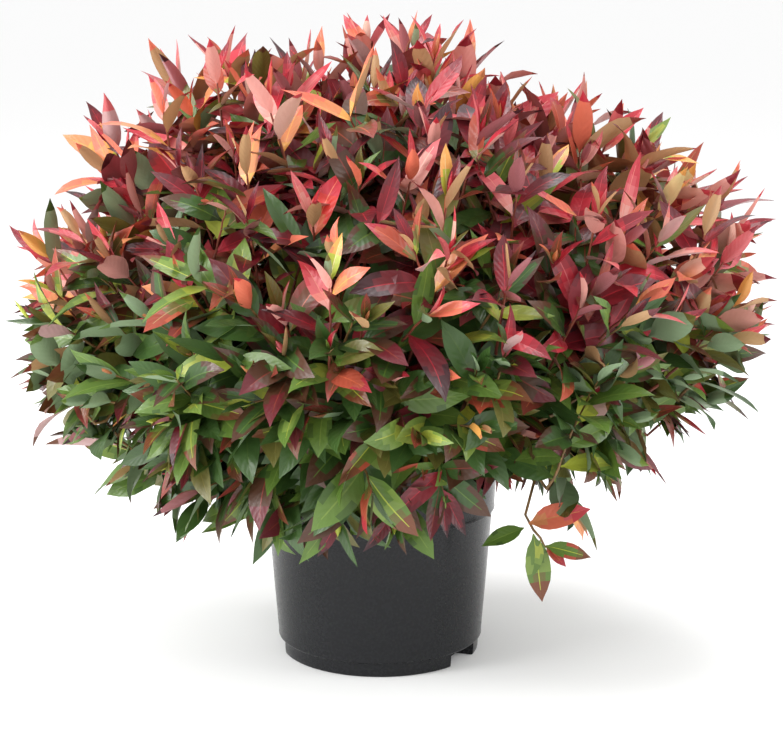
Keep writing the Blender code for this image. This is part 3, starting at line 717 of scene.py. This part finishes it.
# tips that stand out in the picture: x, y, depth, redness
KEY_TIPS = (
    (12, 298, -0.02, 0.85), (20, 240, 0.02, 0.95), (48, 219, 0.03, 1.0), (6, 368, -0.04, 0.05),
    (26, 404, -0.05, 0.05), (85, 98, 0.02, 1.0), (70, 137, 0.0, 0.95), (160, 36, 0.02, 1.0),
    (212, 22, 0.0, 1.1), (236, 48, -0.04, 1.1), (290, 28, 0.0, 1.05), (350, 17, 0.03, 0.8),
    (408, 5, 0.0, 1.15), (440, 10, -0.02, 1.1), (474, 27, 0.02, 1.0), (520, 62, 0.0, 0.9),
    (567, 84, 0.02, 1.0), (597, 76, 0.05, 1.0), (632, 96, 0.0, 0.95), (660, 112, 0.03, 0.7),
    (665, 150, -0.03, 1.15), (680, 142, 0.02, 0.6), (714, 162, 0.0, 0.9), (745, 172, 0.02, 0.9),
    (779, 207, 0.0, 0.8), (772, 280, -0.03, 0.95), (738, 328, -0.03, 0.5), (715, 372, -0.04, 0.4),
    (698, 446, -0.05, 0.35), (662, 482, -0.04, 0.4), (620, 503, -0.06, 0.2), (592, 548, -0.08, 0.4),
    (68, 452, -0.04, 0.12), (97, 452, -0.05, 0.15), (150, 512, -0.06, 0.2), (215, 520, -0.10, 0.2),
    (265, 563, -0.15, 0.1), (332, 570, -0.19, 0.05), (452, 545, -0.19, 0.3), (380, 540, -0.19, 0.3),
    (160, 520, -0.05, 0.25), (705, 340, -0.02, 0.6), (390, 60, -0.06, 1.1), (352, 62, -0.05, 1.1),
)


def sample_skins(trees, gap, shrink, tries):
    """Spots spread over the outside of the masses, no two nearer than the gap."""
    faces = []
    for name in [m[0] for m in MASSES]:
        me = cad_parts[name].data
        for p in me.polygons:
            mid = p.center
            out = (mid - CROWN_MID).normalized()
            if p.normal.dot(out) > 0.30 or (mid.z < 0.26 and p.normal.z < -0.2 and out.z < -0.2):
                vs = [me.vertices[i].co for i in p.vertices]
                area = 0.5 * (vs[1] - vs[0]).cross(vs[2] - vs[0]).length
                faces.append((area, vs, name))
    total = sum(f[0] for f in faces)
    pace, acc = [], 0.0
    for f in faces:
        acc += f[0]
        pace.append(acc)
    found, cells = [], {}
    for _ in range(tries):
        x = rng.uniform(0, total)
        k = int(np.searchsorted(pace, x))
        _, vs, name = faces[min(k, len(faces) - 1)]
        a, b = rng.random(), rng.random()
        if a + b > 1:
            a, b = 1 - a, 1 - b
        p = vs[0] + (vs[1] - vs[0]) * a + (vs[2] - vs[0]) * b
        p = CROWN_MID + (p - CROWN_MID) * shrink(rng)
        key = tuple(int(math.floor(c / gap)) for c in p)
        near = [q for dx in (-1, 0, 1) for dy in (-1, 0, 1) for dz in (-1, 0, 1)
                for q in cells.get((key[0] + dx, key[1] + dy, key[2] + dz), ())]
        if all((q - p).length > gap for q in near):
            cells.setdefault(key, []).append(p)
            found.append((p, name))
    return found


def grow():
    trees = {name: node_tree(name) for name in [m[0] for m in MASSES] + [SPRIG]}
    sites = {name: CROWN_MID + heading(a, e) * (reach * MASS_SITE) for name, a, e, reach in MASSES}
    sites[SPRIG] = SPRIG_MID
    stem_tubes, bough_tubes, twigs, buds = Tubes(12), Tubes(10), Tubes(4), Tubes(6)
    spines = {}
    stems = {}
    for name, angle, mass in STEMS:
        foot = heading(angle, 0.0) * 0.034 + Vector((0, 0, COMPOST_Z + GAP))
        end = sites[mass]
        knee = foot + (end - foot) * 0.42 - heading(angle, 0.0) * 0.052
        stop = entry(foot, knee, end, trees[mass])
        far = min(1.0, stop + 0.25)
        pts = [bend(foot, knee, end, far * k / 36.0) for k in range(37)]
        radii = [0.0052 + (0.0020 - 0.0052) * k / 36.0 for k in range(37)]
        radii[0] *= 1.42
        radii[1] *= 1.18
        # knots where the leaf scars are
        radii = [r * (1.10 if k % 5 == 3 else 1.0) for k, r in enumerate(radii)]
        stem_tubes.add(pts, radii, 0, relief=0.07, phase=angle)
        stems[name] = ([bend(foot, knee, end, stop * k / 7.0) for k in range(8)],
                       [0.0052 + (0.0026 - 0.0052) * k / 7.0 for k in range(8)])
        spines[mass] = (bend(foot, knee, end, far), end)
    for name, stem, share, mass in BOUGHS:
        points, radii = stems[stem]
        spans = [(q - p).length for p, q in zip(points, points[1:])]
        left = share * sum(spans)
        for k, length in enumerate(spans):
            if left <= length or k == len(spans) - 1:
                ahead = (points[k + 1] - points[k]).normalized()
                at = points[k] + ahead * left
                stem_r = radii[k] + (radii[k + 1] - radii[k]) * (left / length)
                break
            left -= length
        end = sites[mass]
        out = end - at
        out = (out - ahead * out.dot(ahead)).normalized()
        start = at + out * (stem_r * 0.55)
        knee = start + (end - start) * 0.45 + Vector((0, 0, 0.030 if "low" in name else 0.012))
        stop = entry(start, knee, end, trees[mass])
        far = min(1.0, stop + 0.30)
        pts = [bend(start, knee, end, far * k / 20.0) for k in range(21)]
        thin = [0.0034 + (0.0015 - 0.0034) * k / 20.0 for k in range(21)]
        thin = [r * (1.12 if k % 4 == 2 else 1.0) for k, r in enumerate(thin)]
        bough_tubes.add(pts, thin, 0, relief=0.06, phase=share * 9)
        spines[mass] = (bend(start, knee, end, far), end)

    store = {g[0]: Leaves() for g in GROUPS}
    home = {mass: store[g[0]] for g in GROUPS for mass in g[2]}
    made = {}

    def feed(apex, mass, ahead, run):
        """Where a shoot leaves the mass's own branches."""
        a, b = spines[mass]
        base = apex - ahead * run
        t = max(0.0, min(1.0, (base - a).dot(b - a) / max(1e-6, (b - a).length_squared)))
        near = a + (b - a) * t * 0.9
        made.setdefault(mass, []).append(base)
        return near.lerp(base, 0.15)

    tips = sample_skins(trees, 0.0455, lambda r: 1.0, 9000)
    for p, mass in tips:
        ahead = shoot_heading(p)
        size = rng.uniform(0.060, 0.080)
        apex = p - ahead * size * rng.uniform(0.42, 1.25)
        if math.hypot(apex.x, apex.y) < 0.135 and apex.z < 0.215:
            continue
        grow_shoot(home[mass], twigs, buds, apex, ahead, redness(p), size,
                   root=feed(apex, mass, ahead, 0.11))
    inner = sample_skins(trees, 0.058, lambda r: r.uniform(0.66, 0.84), 5000)
    for p, mass in inner:
        ahead = shoot_heading(p)
        ahead = (ahead + Vector((rng.gauss(0, 0.3), rng.gauss(0, 0.3), rng.gauss(0, 0.2)))).normalized()
        if math.hypot(p.x, p.y) < 0.125 and p.z < 0.230:
            continue
        grow_shoot(home[mass], twigs, buds, p, ahead, redness(p) * 0.75, rng.uniform(0.062, 0.078), old=True,
                   count=8, root=feed(p, mass, ahead, 0.09))
    names = [m[0] for m in MASSES]
    for px, py, y, red in KEY_TIPS:
        tip = spot(px, py, y)
        out = (tip - CROWN_MID).normalized()
        lift = 0.9 if out.z > 0.55 else 0.35 if out.z > 0.1 else 0.0 if out.z > -0.35 else -0.55
        ahead = (out * Vector((1.0, 0.7, 1.0)) + UP * lift).normalized()
        size = rng.uniform(0.072, 0.088)
        apex = tip - ahead * (size * 0.62)
        mass = min(names, key=lambda n: (sites[n] - apex).length)
        grow_shoot(home[mass], twigs, buds, apex, ahead, red, size, count=11, root=feed(apex, mass, ahead, 0.11))
    # the sprig that hangs on its own in front of the pot's side
    carrier = sites["foliage_low_right"]
    top = spot(525, 515, -0.10)
    hang = spot(545, 548, -0.106)
    twigs.add([carrier.lerp(top, 0.4), top, spot(533, 530, -0.104), spot(540, 538, -0.106), hang],
              [0.0020, 0.0017, 0.0015, 0.0014, 0.0010], 0)
    for base, tip, recipe, wide in (
            ((545, 546), (590, 556), "greenred", 0.40), ((524, 528), (482, 544), "green", 0.42),
            ((533, 534), (543, 602), "greentip", 0.38), ((540, 540), (528, 580), "grass", 0.40),
            ((528, 524), (588, 508), "coral", 0.44), ((545, 546), (566, 566), "brick", 0.40)):
        a, b = spot(*base, -0.106), spot(*tip, -0.114)
        home[SPRIG].add(a, b - a, Vector((0.1, -0.75, 0.65)), (b - a).length * 1.03, (b - a).length * wide,
                        0.25, 0.22, 0.15, 0.95, 0.06, recipe)

    mats = [leaf_material(n, PALETTE[n], 0.36 if n not in ("greygreen", "dusty", "lilac", "blush", "tan") else 0.50)
            for n in NAMES]
    total = 0
    for name, slot, masses in GROUPS:
        piece = store[name].mesh(name, mats, LOW, HIGH)
        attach(piece, "root")
        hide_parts(*masses)
        total += len(piece.data.polygons) * 2
        print(name, "triangles", len(piece.data.polygons) * 2)
    old_bark = patchy_material("stem_bark", (74, 46, 34), (128, 92, 70), 90.0, 0.72, 0.0007, (1.0, 1.0, 0.22))
    young_bark = patchy_material("young_bark", (104, 44, 32), (150, 78, 56), 120.0, 0.50, 0.0003, (1.0, 1.0, 0.4))
    green_twig = patchy_material("green_twig", (98, 74, 40), (140, 104, 60), 160.0, 0.50, 0.0002)
    for tubes, name, slot, nodes, looks in (
            (stem_tubes, "stems", "stem_bark", [s[0] for s in STEMS], [old_bark]),
            (bough_tubes, "boughs", "young_bark", [b[0] for b in BOUGHS], [young_bark]),
            (twigs, "twigs", "young_bark", ["bough_sprig"], [green_twig, young_bark])):
        piece = tubes.mesh(name, looks)
        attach(piece, "root")
        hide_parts(*nodes)
        print(name, "quads", len(piece.data.polygons))
    piece = buds.mesh("buds", mats)
    for layer in ("leaf", "OFBake"):
        piece.data.uv_layers.new(name=layer)
        co = np.array([(0.1 + 0.8 * (k % 6) / 5.0, 0.1 + 0.8 * ((k // 6) % 6) / 5.0)
                       for k in (l.vertex_index for l in piece.data.loops)])
        piece.data.uv_layers[layer].data.foreach_set("uv", co.astype(np.float32).ravel())
    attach(piece, "root")
    print("leaf triangles", total, "shoots", len(tips), len(inner))


# ---------------------------------------------------------------- compost, floor, light
def finish_compost():
    mat = patchy_material("compost_crumb", (24, 15, 10), (74, 50, 34), 260.0, 0.93, 0.0030, spread=0.04)
    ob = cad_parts["compost"]
    ob.data.materials.clear()
    ob.data.materials.append(mat)


def build_floor():
    me = bpy.data.meshes.new("floor")
    s = 90.0
    me.from_pydata([(-s, -s, 0), (s, -s, 0), (s, s, 0), (-s, s, 0)], [], [(0, 1, 2, 3)])
    mat = bpy.data.materials.new("floor")
    mat.use_nodes = True
    b = mat.node_tree.nodes["Principled BSDF"]
    b.inputs["Base Color"].default_value = (0.97, 0.97, 0.97, 1)
    b.inputs["Roughness"].default_value = 0.9
    b.inputs["Specular IOR Level"].default_value = 0.1
    me.materials.append(mat)
    ob = bpy.data.objects.new("floor", me)
    scene.collection.objects.link(ob)


def build_light():
    world = bpy.data.worlds.new("studio")
    world.use_nodes = True
    world.node_tree.nodes["Background"].inputs[0].default_value = (1, 1, 1, 1)
    world.node_tree.nodes["Background"].inputs[1].default_value = 1.0
    scene.world = world
    for name, at, power, size in (("key", (-2.7, -1.1, 2.3), 68.0, 1.1), ("fill", (2.7, -0.6, 1.7), 34.0, 1.5),
                                  ("top", (0.2, 0.4, 3.0), 40.0, 1.4),
                                  ("low", (-2.7, -1.3, 0.8), 38.0, 1.2)):
        data = bpy.data.lights.new(name, "AREA")
        data.energy = power
        data.size = size
        ob = bpy.data.objects.new(name, data)
        ob.location = at
        ob.rotation_euler = (Vector((0, 0, 0.35)) - Vector(at)).to_track_quat("-Z", "Y").to_euler()
        scene.collection.objects.link(ob)
    scene.view_settings.view_transform = "Standard"
    scene.view_settings.look = "None"


build_camera()
build_pot()
finish_compost()
grow()
build_floor()
build_light()
bpy.context.view_layer.update()
